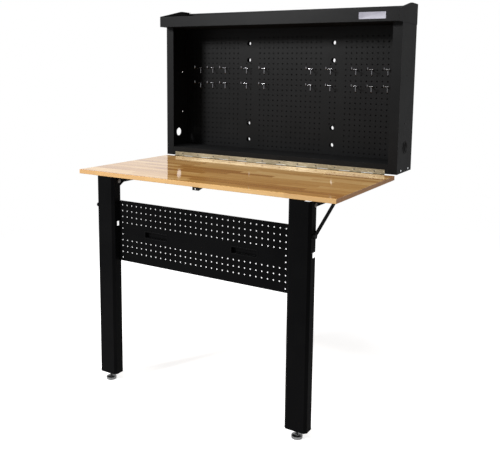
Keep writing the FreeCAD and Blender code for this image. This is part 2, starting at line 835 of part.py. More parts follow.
def brace_bar():
    """Flat bar with round ends, bored at its pin and hooked over the stud."""
    half = brace_width / 2
    span = (brace_near, brace_far)
    run_y = brace_pin_y - brace_stud_y
    run_z = brace_pin_z - brace_stud_z
    length = math.hypot(run_y, run_z)
    side_y = -run_z / length * half
    side_z = run_y / length * half
    bar = plate_x([(brace_stud_y + side_y, brace_stud_z + side_z),
                   (brace_pin_y + side_y, brace_pin_z + side_z),
                   (brace_pin_y - side_y, brace_pin_z - side_z),
                   (brace_stud_y - side_y, brace_stud_z - side_z)], span)
    ends = [rod_x(half, span, brace_stud_y, brace_stud_z),
            rod_x(half, span, brace_pin_y, brace_pin_z)]
    out_y, out_z = brace_slot_direction()
    gap = brace_pin_radius + brace_slot_play
    exit_y = brace_stud_y + out_y * brace_width
    exit_z = brace_stud_z + out_z * brace_width
    through = (brace_near - 1, brace_far + 1)
    mouth = gap + brace_slot_flare
    slot = plate_x([(brace_stud_y - out_z * gap, brace_stud_z + out_y * gap),
                    (exit_y - out_z * mouth, exit_z + out_y * mouth),
                    (exit_y + out_z * mouth, exit_z - out_y * mouth),
                    (brace_stud_y + out_z * gap, brace_stud_z - out_y * gap)], through)
    cuts = [slot, rod_x(gap, through, brace_stud_y, brace_stud_z),
            rod_x(brace_pin_radius + bolt_fit, through, brace_pin_y, brace_pin_z)]
    return fused([bar] + ends).cut(cuts)


# ---- write every piece --------------------------------------------------

os.makedirs("parts", exist_ok=True)

save(side_panel(side_hole_right_setback), "right_side_panel")
save(mirrored(side_panel(side_hole_left_setback)), "left_side_panel")
save_pair(cable_grommet(), "cable_grommet")
save(back_sheet(), "back_sheet")
save(pegboard_back(), "pegboard_back")
save(cabinet_floor(), "cabinet_floor")
save(tray_pan(), "tray_pan")
save_pair(tray_end(), "tray_end")
save(tool_hooks(), "tool_hooks")

save(hinge_leaf(0, 1, cabinet_bottom + hinge_leaf_top), "hinge_leaf_upper")
save(hinge_leaf(1, -1, worktop_bottom + hinge_leaf_clearance), "hinge_leaf_lower")
save(hinge_pin(), "hinge_pin")
save(hinge_screw_heads(), "hinge_screws")

save(worktop_board(), "worktop_board")
save_pair(leg_bracket(), "leg_bracket")
save(bracket_screws(), "bracket_screws")
save_pair(brace_pin(), "brace_pin")
save_pair(brace_spacer(), "brace_spacer")
save(catch_plate(), "catch_plate")

save_pair(leg(), "leg")
save(leg_panel(), "leg_panel")
save(pull_cup(), "right_pull_cup")
save(mirrored(pull_cup()), "left_pull_cup")
save(panel_bolts(), "panel_bolts")
save_pair(pivot_bolt(), "pivot_bolt")
save(pivot_washers(), "pivot_washers")
save_pair(brace_stud(), "brace_stud")
save_pair(leg_cap(), "leg_cap")
save_pair(foot_plate_in_leg(), "foot_plate")
save_pair(foot_lock_nut(), "foot_nut")

save_pair(brace_bar(), "brace_bar")
save_pair(levelling_foot(), "levelling_foot")
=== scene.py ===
import json
import math

import bmesh
import bpy
from mathutils import Matrix, Vector


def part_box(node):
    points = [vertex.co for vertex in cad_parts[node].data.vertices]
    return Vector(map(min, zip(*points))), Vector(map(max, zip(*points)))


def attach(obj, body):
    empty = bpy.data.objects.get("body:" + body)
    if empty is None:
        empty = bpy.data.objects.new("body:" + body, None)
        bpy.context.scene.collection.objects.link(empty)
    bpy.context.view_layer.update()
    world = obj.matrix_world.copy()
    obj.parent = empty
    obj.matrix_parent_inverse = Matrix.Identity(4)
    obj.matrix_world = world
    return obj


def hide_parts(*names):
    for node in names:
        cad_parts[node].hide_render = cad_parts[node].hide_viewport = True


# wall mounted folding workbench: finishes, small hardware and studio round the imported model
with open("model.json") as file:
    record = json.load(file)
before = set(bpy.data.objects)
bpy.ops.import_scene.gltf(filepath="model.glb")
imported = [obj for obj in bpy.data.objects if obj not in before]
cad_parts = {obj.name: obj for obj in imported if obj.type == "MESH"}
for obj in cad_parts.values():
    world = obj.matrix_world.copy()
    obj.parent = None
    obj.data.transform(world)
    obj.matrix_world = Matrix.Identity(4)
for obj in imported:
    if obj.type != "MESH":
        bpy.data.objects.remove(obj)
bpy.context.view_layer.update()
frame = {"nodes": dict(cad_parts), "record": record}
nodes = frame["nodes"]
scene = bpy.context.scene
sides = ((1, "right"), (-1, "left"))
print("frame loaded:", len(nodes), "nodes")

camera = {
    "place": (1.46649, -2.83429, 0.10244),
    "turn": 29.975,      # degrees left of straight at the wall
    "down": 7.669,       # degrees below level
    "roll": 0.758,
    "lens": 47.616,
    "sensor": 36.0,
    "shift": (-0.0199, -0.13),
    "clip": (0.05, 100.0),
}
lamps = {
    "keySoftbox": {"place": (-2.05, -3.70, 1.55), "aim": (0.0, -0.2, 0.05), "size": (0.9, 0.7),
                   "power": 195.0},
    "overheadPanel": {"place": (0.0, -1.2, 3.2), "aim": (0.0, -0.9, -0.3), "size": (3.2, 2.2),
                      "power": 106.0},
}
studio = {
    "white": (1.0, 1.0, 1.0, 1.0),
    "ambient": 0.18,
    "floorLevel": -1.238,
    "floorSize": 30.0,
    "floorColour": (0.80, 0.80, 0.80, 1.0),
    "floorLift": 0.80,           # glow that is seen over the lit paint
    "shadowReach": (1.3, 3.0),   # the floor turns to plain white between these distances
}


def addObject(name, data):
    holder = bpy.data.objects.new(name, data)
    scene.collection.objects.link(holder)
    return holder


def meshOf(name, bm):
    mesh = bpy.data.meshes.new(name)
    bm.to_mesh(mesh)
    bm.free()
    return mesh


def aimCamera():
    turn, down, roll = (math.radians(camera[key]) for key in ("turn", "down", "roll"))
    ahead = Vector((-math.sin(turn) * math.cos(down), math.cos(turn) * math.cos(down),
                    -math.sin(down)))
    level = Vector((math.cos(turn), math.sin(turn), 0.0))
    above = level.cross(ahead)
    right = level * math.cos(roll) + above * math.sin(roll)
    up = above * math.cos(roll) - level * math.sin(roll)
    data = bpy.data.cameras.new("viewCamera")
    data.lens = camera["lens"]
    data.sensor_width = camera["sensor"]
    data.shift_x, data.shift_y = camera["shift"]
    data.clip_start, data.clip_end = camera["clip"]
    holder = addObject("viewCamera", data)
    facing = Matrix((right, up, -ahead)).transposed().to_4x4()
    holder.matrix_world = Matrix.Translation(camera["place"]) @ facing
    scene.camera = holder


def hangLamp(name, facts):
    data = bpy.data.lights.new(name, "AREA")
    data.shape = "RECTANGLE"
    data.size, data.size_y = facts["size"]
    data.energy = facts["power"]
    holder = addObject(name, data)
    holder.location = facts["place"]
    towards = Vector(facts["aim"]) - Vector(facts["place"])
    holder.rotation_euler = towards.to_track_quat("-Z", "Y").to_euler()


def feed(tree, node, inputs):
    # links or plain values into a node's sockets
    for label, value in inputs.items():
        if isinstance(value, bpy.types.NodeSocket):
            tree.links.new(value, node.inputs[label])
        else:
            node.inputs[label].default_value = value


def put(tree, kind, inputs=None, **settings):
    node = tree.nodes.new(kind)
    for name, value in settings.items():
        setattr(node, name, value)
    feed(tree, node, inputs or {})
    return node


def calc(tree, operation, first, second=0.0, third=None):
    inputs = {0: first, 1: second}
    if third is not None:
        inputs[2] = third
    return put(tree, "ShaderNodeMath", inputs, operation=operation).outputs[0]


def vectorCalc(tree, operation, first, second=(0.0, 0.0, 0.0)):
    node = put(tree, "ShaderNodeVectorMath", {0: first, 1: second}, operation=operation)
    return node.outputs["Value" if operation in ("LENGTH", "DOT_PRODUCT") else "Vector"]


def between(tree, value, low, high, newLow=0.0, newHigh=1.0):
    facts = {"Value": value, "From Min": low, "From Max": high, "To Min": newLow,
             "To Max": newHigh}
    return put(tree, "ShaderNodeMapRange", facts, interpolation_type="SMOOTHSTEP").outputs[0]


def mixColour(tree, share, first, second, way="MIX"):
    node = put(tree, "ShaderNodeMix", data_type="RGBA", blend_type=way)
    colours = [value if isinstance(value, bpy.types.NodeSocket) else (*value, 1.0)
               for value in (first, second)]
    feed(tree, node, {0: share, 6: colours[0], 7: colours[1]})
    return node.outputs[2]


def ramp(tree, value, stops):
    node = put(tree, "ShaderNodeValToRGB", {0: value})
    marks = node.color_ramp.elements
    while len(marks) < len(stops):
        marks.new(0.5)
    for mark, (place, colour) in zip(marks, stops):
        mark.position = place
        mark.color = (*colour, 1.0)
    return node.outputs[0]


def objectSpot(tree):
    return put(tree, "ShaderNodeTexCoord").outputs["Object"]


def noise(tree, spot, scale, settings):
    inputs = {"Vector": spot, "Scale": scale, **settings}
    return put(tree, "ShaderNodeTexNoise", inputs).outputs[0]


def drawnNoise(tree, spot, stretch, settings, rotation=(0.0, 0.0, 0.0)):
    # noise drawn out into lines along one direction
    drawn = put(tree, "ShaderNodeMapping", {"Vector": spot, "Rotation": rotation,
                                            "Scale": stretch})
    return noise(tree, drawn.outputs[0], 1.0, settings)


def whiteNoise(tree, number):
    return put(tree, "ShaderNodeTexWhiteNoise", {"W": number}, noise_dimensions="1D").outputs


def bumped(tree, height, strength, relief):
    return put(tree, "ShaderNodeBump", {"Height": height, "Strength": strength,
                                        "Distance": relief}).outputs[0]


def startMaterial(name):
    material = bpy.data.materials.new(name)
    material.use_nodes = True
    tree = material.node_tree
    return material, tree, tree.nodes["Principled BSDF"]


def startGroup(name, inputs, outputs):
    # a node group with plain numbers going in and coming out
    group = bpy.data.node_groups.new(name, "ShaderNodeTree")
    kind = "NodeSocketFloat"
    for label, value in inputs.items():
        socket = group.interface.new_socket(name=label, in_out="INPUT", socket_type=kind)
        socket.default_value = value
    for label in outputs:
        group.interface.new_socket(name=label, in_out="OUTPUT", socket_type=kind)
    given = group.nodes.new("NodeGroupInput").outputs
    return group, given, group.nodes.new("NodeGroupOutput")


def useGroup(tree, group, inputs):
    node = put(tree, "ShaderNodeGroup", node_tree=group)
    feed(tree, node, inputs)
    return node.outputs


def seenDirectly(tree):
    # 1 for what the camera, a reflection or glass shows, 0 for light that bounces
    paths = put(tree, "ShaderNodeLightPath").outputs
    either = calc(tree, "MAXIMUM", paths["Is Camera Ray"], paths["Is Glossy Ray"])
    return calc(tree, "MAXIMUM", either, paths["Is Transmission Ray"])


def buildWorld():
    world = bpy.data.worlds.new("studioWorld")
    scene.world = world
    world.use_nodes = True
    tree = world.node_tree
    tree.nodes.clear()
    seen = seenDirectly(tree)
    soft = put(tree, "ShaderNodeBackground", {"Color": studio["white"],
                                              "Strength": studio["ambient"]})
    plain = put(tree, "ShaderNodeBackground", {"Color": studio["white"], "Strength": 1.0})
    mixed = put(tree, "ShaderNodeMixShader", {0: seen, 1: soft.outputs[0], 2: plain.outputs[0]})
    put(tree, "ShaderNodeOutputWorld", {"Surface": mixed.outputs[0]})


def floorMaterial():
    # pale paint that keeps the bench's shadow and fades to white away from it
    material, tree, shader = startMaterial("paleFloor")
    tree.nodes.remove(shader)
    seen = seenDirectly(tree)
    flat = vectorCalc(tree, "MULTIPLY", objectSpot(tree), (1.0, 1.0, 0.0))
    far = between(tree, vectorCalc(tree, "LENGTH", flat), *studio["shadowReach"])
    paint = put(tree, "ShaderNodeBsdfDiffuse", {"Color": studio["floorColour"]})
    glow = calc(tree, "MULTIPLY", seen, studio["floorLift"])
    lift = put(tree, "ShaderNodeEmission", {"Strength": glow})
    near = put(tree, "ShaderNodeAddShader", {0: paint.outputs[0], 1: lift.outputs[0]})
    plain = put(tree, "ShaderNodeEmission", {"Strength": 1.0})
    whole = put(tree, "ShaderNodeMixShader", {0: calc(tree, "MULTIPLY", far, seen),
                                              1: near.outputs[0], 2: plain.outputs[0]})
    feed(tree, tree.nodes["Material Output"], {"Surface": whole.outputs[0]})
    return material


def layFloor():
    bm = bmesh.new()
    bmesh.ops.create_grid(bm, x_segments=1, y_segments=1, size=studio["floorSize"] / 2)
    bmesh.ops.translate(bm, vec=(0.0, 0.0, studio["floorLevel"]), verts=bm.verts)
    floor = addObject("studioFloor", meshOf("studioFloor", bm))
    floor.data.materials.append(floorMaterial())


aimCamera()
for lampName, lampFacts in lamps.items():
    hangLamp(lampName, lampFacts)
buildWorld()
layFloor()
scene.view_settings.view_transform = "Standard"
print("studio ready")

grainLook = {
    "fine": {"Detail": 2.0, "Roughness": 0.6},
    "broad": {"Detail": 1.0},
    "patch": {"Detail": 3.0, "Roughness": 0.55},
    "broadShare": 0.21,      # frequency of the coarse cells against the fine ones
    "broadHeight": 0.45,
    "mottle": (0.3, 0.7),
}
edgeLook = {
    "samples": 6,
    "bend": (0.995, 0.86),   # from flat to a full edge, as the normals' dot product
    "patchScale": 60.0,
    "patch": {"Detail": 3.0},
    "rubbed": (0.42, 0.62),
}
handlingLook = {
    "wiped": {"Detail": 4.0, "Distortion": 0.6},
    "scratchTurn": (0.4, 0.7, 0.3),
    "scratchStretch": (9.0, 340.0, 9.0),
    "scratch": {"Detail": 2.0},
    "scratchRange": (0.66, 0.74),
    "scratchDull": 0.05,
}


def grainEffect():
    # fine and coarse unevenness of a sprayed, moulded or plated surface
    group, given, made = startGroup("surfaceGrain", {"Cell": 900.0, "Patch": 7.0},
                                    ("Height", "Mottle"))
    spot = objectSpot(group)
    fine = noise(group, spot, given["Cell"], grainLook["fine"])
    broadScale = calc(group, "MULTIPLY", given["Cell"], grainLook["broadShare"])
    broad = noise(group, spot, broadScale, grainLook["broad"])
    patch = noise(group, spot, given["Patch"], grainLook["patch"])
    feed(group, made, {
        "Height": calc(group, "MULTIPLY_ADD", broad, grainLook["broadHeight"], fine),
        "Mottle": between(group, patch, *grainLook["mottle"])})
    return group


def edgeEffect():
    # a band along edges and hole rims: broken into patches it is rubbed wear, and whole on the
    # punched panels it is painted shade round the peg holes
    group, given, made = startGroup("edgeWearAndRimShade", {"Width": 0.002, "Amount": 1.0, "Broken": 1.0},
                                    ("Mask",))
    rounded = put(group, "ShaderNodeBevel", {"Radius": given["Width"]},
                  samples=edgeLook["samples"]).outputs[0]
    plain = put(group, "ShaderNodeNewGeometry").outputs["True Normal"]
    edge = between(group, vectorCalc(group, "DOT_PRODUCT", rounded, plain), *edgeLook["bend"])
    patch = noise(group, objectSpot(group), edgeLook["patchScale"], edgeLook["patch"])
    rubbed = between(group, patch, *edgeLook["rubbed"])
    gaps = calc(group, "MULTIPLY", given["Broken"], calc(group, "SUBTRACT", 1.0, rubbed))
    band = calc(group, "MULTIPLY", edge, calc(group, "SUBTRACT", 1.0, gaps))
    feed(group, made, {"Mask": calc(group, "MULTIPLY", band, given["Amount"])})
    return group


def handlingEffect():
    # faint wiped patches and fine scratches that change the gloss
    group, given, made = startGroup("handlingMarks", {"Scale": 5.0, "Base": 0.4, "Spread": 0.08},
                                    ("Roughness", "Scratch"))
    spot = objectSpot(group)
    wiped = noise(group, spot, given["Scale"], handlingLook["wiped"])
    hair = drawnNoise(group, spot, handlingLook["scratchStretch"], handlingLook["scratch"],
                      handlingLook["scratchTurn"])
    scratch = between(group, hair, *handlingLook["scratchRange"])
    centred = calc(group, "MULTIPLY_ADD", wiped, 2.0, -1.0)
    gloss = calc(group, "MULTIPLY_ADD", centred, given["Spread"], given["Base"])
    feed(group, made, {
        "Roughness": calc(group, "MULTIPLY_ADD", scratch, handlingLook["scratchDull"], gloss),
        "Scratch": scratch})
    return group


surfaceGrain = grainEffect()
edgeWearAndRimShade = edgeEffect()
handlingMarks = handlingEffect()

slantLook = {"blend": 0.5, "dull": 0.5}      # fine texture looks duller along the surface
polishLook = {"lines": {"Detail": 3.0, "Roughness": 0.6}, "range": (0.3, 0.7)}
hingeRoll = {"centre": (-0.196, -0.326), "radius": 0.005, "outer": 1.3, "inner": 1.05,
             "pitch": 0.01304, "seam": 0.0011, "dim": 0.84, "seamDim": 0.14}


def mottledBase(tree, facts):
    # the tone and gloss that every finish starts from, and the height of its grain
    grain = useGroup(tree, surfaceGrain, {"Cell": facts["cell"], "Patch": facts["patch"]})
    marks = useGroup(tree, handlingMarks, {"Scale": facts["patch"], "Base": facts["gloss"],
                                           "Spread": facts["glossSpread"]})
    tone = mixColour(tree, grain["Mottle"], facts["dark"], facts["light"])
    return tone, marks["Roughness"], grain["Height"]


def coated(name, facts):
    # one colour of paint, plastic or rubber with its own grain, gloss and edge tone: rubbed wear
    # on most finishes, painted shade round the holes of the punched panels
    material, tree, shader = startMaterial(name)
    tone, gloss, height = mottledBase(tree, facts)
    edge = useGroup(tree, edgeWearAndRimShade, {"Width": facts["edge"], "Amount": facts["wearAndShadeAmount"],
                                       "Broken": facts["broken"]})["Mask"]
    slant = put(tree, "ShaderNodeLayerWeight", {"Blend": slantLook["blend"]}).outputs["Facing"]
    dull = calc(tree, "MULTIPLY", calc(tree, "MULTIPLY", slant, slant), slantLook["dull"])
    dull = calc(tree, "MULTIPLY_ADD", edge, facts["edgeDull"], dull)
    feed(tree, shader, {
        "Base Color": mixColour(tree, edge, tone, facts["wearAndShadeTone"]),
        "Roughness": calc(tree, "ADD", gloss, dull),
        "Normal": bumped(tree, height, facts["bump"], facts["relief"]),
        "Specular IOR Level": facts["specular"]})
    return material


def plated(name, facts):
    # bare or plated metal: colour patches, direction of the polish, gloss variation
    material, tree, shader = startMaterial(name)
    tone, gloss = mottledBase(tree, facts)[:2]
    lines = drawnNoise(tree, objectSpot(tree), facts["polish"], polishLook["lines"])
    streak = between(tree, lines, *polishLook["range"], 1.0 - facts["streak"], 1.0)
    feed(tree, shader, {
        "Base Color": mixColour(tree, 1.0, tone, streak, "MULTIPLY"),
        "Roughness": gloss,
        "Normal": bumped(tree, lines, facts["bump"], facts["relief"]),
        "Metallic": facts["metallic"]})
    return material


def rolledStrip(name, facts):
    # painted shade: the strip's rolled knuckles are darkened in their colour, with a dark seam
    # at every end
    material = plated(name, facts)
    tree = material.node_tree
    shader = tree.nodes["Principled BSDF"]
    metal = shader.inputs["Base Color"].links[0].from_socket
    x, y, z = put(tree, "ShaderNodeSeparateXYZ", {0: objectSpot(tree)}).outputs
    back = calc(tree, "SUBTRACT", y, hingeRoll["centre"][0])
    up = calc(tree, "SUBTRACT", z, hingeRoll["centre"][1])
    away = calc(tree, "SQRT", calc(tree, "ADD", calc(tree, "MULTIPLY", back, back),
                                   calc(tree, "MULTIPLY", up, up)))
    roll = between(tree, away, hingeRoll["radius"] * hingeRoll["outer"],
                   hingeRoll["radius"] * hingeRoll["inner"])
    beside = calc(tree, "PINGPONG", x, hingeRoll["pitch"] / 2)
    seam = between(tree, beside, hingeRoll["seam"], hingeRoll["seam"] / 2)
    dim = calc(tree, "MULTIPLY_ADD", seam, hingeRoll["seamDim"], hingeRoll["dim"])
    shade = calc(tree, "SUBTRACT", 1.0, calc(tree, "MULTIPLY", dim, roll))
    feed(tree, shader, {"Base Color": mixColour(tree, 1.0, metal, shade, "MULTIPLY")})
    return material


staves = {
    "width": 0.0375, "length": 0.31, "fingerPitch": 0.0045, "fingerSlope": 2.4,
    "rowStart": 9.7,                 # how far a row's joints may start from the next one's
    "rowApart": 31.7, "unevenScale": 0.9, "unevenLength": 0.9,
    "staveStep": 3.77, "rowStep": 17.31,     # spread the staves' chance numbers
}
boardGrain = {
    "apart": (7.0, 3.0, 5.0),        # moves the grain from stave to stave
    "figure": (3.5, 75.0, 75.0), "figureNoise": {"Detail": 3.0, "Distortion": 0.8},
    "fibre": (28.0, 900.0, 900.0), "fibreNoise": {"Detail": 2.0},
    "fibreShade": (0.25, 0.75, 0.86, 1.08),
    "pores": (60.0, 1500.0, 1500.0), "poreNoise": {"Detail": 1.0}, "poreRange": (0.66, 0.76),
    "poreShare": 0.45, "poreTone": (0.16, 0.08, 0.035),
    "driftScale": 2.6, "driftNoise": {"Detail": 2.0}, "drift": 0.30,
    "ringScale": 420.0, "ringNoise": {"Detail": 2.0}, "ringRange": (0.45, 0.7, 0.0, 0.35),
}
boardTones = {
    "staves": ((0.00, (0.350, 0.155, 0.042)), (0.30, (0.445, 0.228, 0.066)),
               (0.62, (0.530, 0.296, 0.098)), (1.00, (0.640, 0.405, 0.165))),
    "seamWidth": 0.00045, "seam": (0.17, 0.085, 0.035), "seamShare": 0.55,
    "longEdge": (0.66, 0.45, 0.23), "longEdgeShare": 0.50,
    "end": (0.72, 0.42, 0.26), "endShare": 0.8, "rings": (0.20, 0.11, 0.06),
    "facing": (0.6, 0.9),            # part of the normal at which an edge's tone sets in
}
lacquer = {
    "coatRoughness": 0.07, "coatIndex": 1.38, "bareFrom": (0.25, 0.5), "endDull": 0.35,
    "marks": {"Scale": 3.0, "Base": 0.34, "Spread": 0.10},
    "fibreHeight": 0.5, "bump": 0.35, "relief": 0.0002,
}


def stavePattern(tree, x, y):
    # edge glued rows along X, cut into staves that are finger jointed end to end
    rowPlace = calc(tree, "DIVIDE", y, staves["width"])
    row = calc(tree, "FLOOR", rowPlace)
    zigzag = calc(tree, "PINGPONG", y, staves["fingerPitch"] / 2)
    joined = calc(tree, "MULTIPLY_ADD", zigzag, staves["fingerSlope"], x)
    run = calc(tree, "DIVIDE", joined, staves["length"])
    run = calc(tree, "MULTIPLY_ADD", whiteNoise(tree, row)["Value"], staves["rowStart"], run)
    apart = calc(tree, "MULTIPLY_ADD", row, staves["rowApart"], run)
    uneven = put(tree, "ShaderNodeTexNoise", {"W": apart, "Scale": staves["unevenScale"],
                                              "Detail": 0.0}, noise_dimensions="1D")
    run = calc(tree, "MULTIPLY_ADD", uneven.outputs[0], staves["unevenLength"], run)
    number = calc(tree, "MULTIPLY_ADD", calc(tree, "FLOOR", run), staves["staveStep"],
                  calc(tree, "MULTIPLY", row, staves["rowStep"]))
    return rowPlace, run, whiteNoise(tree, number)


def glueLines(tree, rowPlace, run):
    # 1 in the lines between rows and at the joints of a row
    beside = calc(tree, "MULTIPLY", calc(tree, "PINGPONG", rowPlace, 0.5), staves["width"])
    ends = calc(tree, "MULTIPLY", calc(tree, "PINGPONG", run, 0.5), staves["length"])
    return between(tree, calc(tree, "MINIMUM", beside, ends), boardTones["seamWidth"], 0.0)


def lacqueredBoard():
    # hardwood staves under a clear gloss lacquer that is worn off the edges
    material, tree, shader = startMaterial("lacqueredBoard")
    spot = objectSpot(tree)
    x, y = put(tree, "ShaderNodeSeparateXYZ", {0: spot}).outputs[:2]
    rowPlace, run, chance = stavePattern(tree, x, y)
    apart = vectorCalc(tree, "MULTIPLY", chance["Color"], boardGrain["apart"])
    inStave = vectorCalc(tree, "ADD", spot, apart)
    figure = drawnNoise(tree, inStave, boardGrain["figure"], boardGrain["figureNoise"])
    fibre = drawnNoise(tree, inStave, boardGrain["fibre"], boardGrain["fibreNoise"])
    pores = drawnNoise(tree, inStave, boardGrain["pores"], boardGrain["poreNoise"])
    pores = between(tree, pores, *boardGrain["poreRange"])
    drift = noise(tree, spot, boardGrain["driftScale"], boardGrain["driftNoise"])

    # the tone of a stave, with broad drift over the board
    tone = calc(tree, "MULTIPLY_ADD", drift, boardGrain["drift"], -boardGrain["drift"] / 2)
    tone = calc(tree, "ADD", tone, chance["Value"])
    tone = calc(tree, "ADD", calc(tree, "SUBTRACT", figure, 0.5), tone)
    wood = ramp(tree, tone, boardTones["staves"])
    shade = between(tree, fibre, *boardGrain["fibreShade"])
    wood = mixColour(tree, 1.0, wood, shade, "MULTIPLY")
    wood = mixColour(tree, calc(tree, "MULTIPLY", pores, boardGrain["poreShare"]), wood,
                     boardGrain["poreTone"])
    seam = glueLines(tree, rowPlace, run)
    wood = mixColour(tree, calc(tree, "MULTIPLY", seam, boardTones["seamShare"]), wood,
                     boardTones["seam"])

    # the long edges are paler, and the two ends of the board show end grain
    facing = put(tree, "ShaderNodeNewGeometry").outputs["True Normal"]
    sideways, forwards = (calc(tree, "ABSOLUTE", part) for part in
                          put(tree, "ShaderNodeSeparateXYZ", {0: facing}).outputs[:2])
    longEdge = between(tree, forwards, *boardTones["facing"], 0.0, boardTones["longEdgeShare"])
    wood = mixColour(tree, longEdge, wood, boardTones["longEdge"])
    rings = noise(tree, inStave, boardGrain["ringScale"], boardGrain["ringNoise"])
    endTone = mixColour(tree, boardTones["endShare"], wood, boardTones["end"])
    endTone = mixColour(tree, between(tree, rings, *boardGrain["ringRange"]), endTone,
                        boardTones["rings"])
    endFace = between(tree, sideways, *boardTones["facing"])
    wood = mixColour(tree, endFace, wood, endTone)

    gloss = useGroup(tree, handlingMarks, lacquer["marks"])["Roughness"]
    height = calc(tree, "SUBTRACT", calc(tree, "MULTIPLY", fibre, lacquer["fibreHeight"]), seam)
    bare = calc(tree, "MAXIMUM", endFace, between(tree, forwards, *lacquer["bareFrom"]))
    feed(tree, shader, {
        "Base Color": wood,
        "Roughness": calc(tree, "MULTIPLY_ADD", endFace, lacquer["endDull"], gloss),
        "Normal": bumped(tree, height, lacquer["bump"], lacquer["relief"]),
        "Coat Weight": calc(tree, "SUBTRACT", 1.0, bare),
        "Coat Roughness": lacquer["coatRoughness"],
        "Coat IOR": lacquer["coatIndex"],
        "Specular IOR Level": 0.0})
    return material


satinCoat = {
    "cell": 1100.0, "patch": 6.0, "gloss": 0.41, "glossSpread": 0.04, "edge": 0.0012,
    "broken": 1.0, "edgeDull": 0.0, "wearAndShadeAmount": 0.5, "dark": (0.0040, 0.0041, 0.0043),
    "light": (0.0056, 0.0057, 0.0060), "wearAndShadeTone": (0.022, 0.022, 0.023), "bump": 0.30,
    "relief": 0.00035, "specular": 0.08}
# painted shade: a whole band round every peg hole and along the panel's edges, darker in colour
# and duller in gloss than the coat
holeRimShade = {"edge": 0.0034, "broken": 0.0, "edgeDull": 0.5, "wearAndShadeAmount": 1.0,
               "wearAndShadeTone": (0.0010, 0.0010, 0.0010)}
# painted shade: a darker, less glossy copy of the satin coat for the legs, leg panel, leg
# brackets and brace bars
legPaintedShade = {"gloss": 0.46, "dark": (0.0020, 0.0020, 0.0022), "light": (0.0030, 0.0030, 0.0032),
           "wearAndShadeTone": (0.014, 0.014, 0.015), "specular": 0.02}
turnedMetal = {
    "cell": 700.0, "patch": 60.0, "glossSpread": 0.10, "metallic": 1.0,
    "polish": (260.0, 260.0, 90.0), "bump": 0.10, "relief": 0.00015}

powderCoat = coated("satinPowderCoat", satinCoat)
rimShadedCoat = coated("rimShadedPowderCoat", {**satinCoat, **holeRimShade})
shadedLegCoat = coated("shadedLegPowderCoat", {**satinCoat, **legPaintedShade})
shadedLegPanelCoat = coated("shadedLegPanelPowderCoat", {**satinCoat, **legPaintedShade, **holeRimShade})
mouldedPlastic = coated("mouldedPlastic", {
    "cell": 1600.0, "patch": 12.0, "gloss": 0.38, "glossSpread": 0.06, "edge": 0.0008,
    "broken": 1.0, "edgeDull": 0.0, "wearAndShadeAmount": 0.4, "dark": (0.0018, 0.0018, 0.0020),
    "light": (0.0028, 0.0028, 0.0030), "wearAndShadeTone": (0.014, 0.014, 0.015), "bump": 0.18,
    "relief": 0.00025, "specular": 0.04})
softRubber = coated("softRubber", {
    "cell": 1300.0, "patch": 15.0, "gloss": 0.62, "glossSpread": 0.06, "edge": 0.0008,
    "broken": 1.0, "edgeDull": 0.0, "wearAndShadeAmount": 0.3, "dark": (0.0050, 0.0050, 0.0050),
    "light": (0.0080, 0.0080, 0.0080), "wearAndShadeTone": (0.02, 0.02, 0.02), "bump": 0.25,
    "relief": 0.0003, "specular": 0.12})
chromeWire = plated("chromeWire", {
    "cell": 500.0, "patch": 30.0, "gloss": 0.22, "glossSpread": 0.05, "metallic": 1.0,
    "dark": (0.27, 0.27, 0.28), "light": (0.38, 0.38, 0.40), "polish": (200.0, 200.0, 200.0),
    "streak": 0.06, "bump": 0.05, "relief": 0.0001})
hingeStrip = rolledStrip("hingeStrip", {
    "cell": 600.0, "patch": 9.0, "gloss": 0.40, "glossSpread": 0.08, "metallic": 1.0,
    "dark": (0.300, 0.264, 0.180), "light": (0.455, 0.405, 0.290),
    "polish": (60.0, 500.0, 500.0), "streak": 0.30, "bump": 0.16, "relief": 0.0002})
zincPlate = plated("zincPlate", {
    **turnedMetal, "gloss": 0.30, "dark": (0.52, 0.53, 0.55), "light": (0.74, 0.75, 0.77),
    "streak": 0.14})
footNickel = plated("footNickel", {
    **turnedMetal, "gloss": 0.28, "dark": (0.11, 0.11, 0.11), "light": (0.23, 0.23, 0.23),
    "streak": 0.18})
darkScrew = plated("darkScrew", {
    "cell": 700.0, "patch": 80.0, "gloss": 0.42, "glossSpread": 0.10, "metallic": 1.0,
    "dark": (0.070, 0.065, 0.060), "light": (0.14, 0.13, 0.12), "polish": (300.0, 300.0, 300.0),
    "streak": 0.2, "bump": 0.12, "relief": 0.00015})
paleTag = plated("paleTag", {
    "cell": 900.0, "patch": 25.0, "gloss": 0.50, "glossSpread": 0.05, "metallic": 0.0,
    "dark": (0.27, 0.265, 0.32), "light": (0.31, 0.305, 0.36), "polish": (30.0, 30.0, 1400.0),
    "streak": 0.08, "bump": 0.10, "relief": 0.0001})
woodBoard = lacqueredBoard()

finishOfSlot = {
    "black_powder_coat": powderCoat, "beech_board": woodBoard, "chrome_wire": chromeWire,
    "hinge_steel": hingeStrip, "zinc_steel": zincPlate, "black_plastic": mouldedPlastic,
    "black_rubber": softRubber,
}
# the pegboard and the leg panel take copies of the coat with painted shade round their holes
finishOfNode = {       # nodes that differ from their slot's finish
    "pegboard_back": rimShadedCoat, "leg_panel": shadedLegPanelCoat, "catch_plate": powderCoat,
    "panel_bolts": powderCoat,
}
# the legs, their brackets and brace bars take the darker copy of the coat, painted shade
for _, word in sides:
    finishOfNode.update({word + "_brace_stud": powderCoat, word + "_brace_spacer": powderCoat,
                         word + "_leg": shadedLegCoat, word + "_leg_bracket": shadedLegCoat,
                         word + "_brace_bar": shadedLegCoat})

for part in frame["record"]["subparts"]:
    node = nodes[part["node"]]
    chosen = finishOfNode.get(part["node"], finishOfSlot[part["material_slot"]])
    if node.material_slots:
        for holder in node.material_slots:
            holder.material = chosen
    else:
        node.data.materials.append(chosen)
print("finishes on every node")


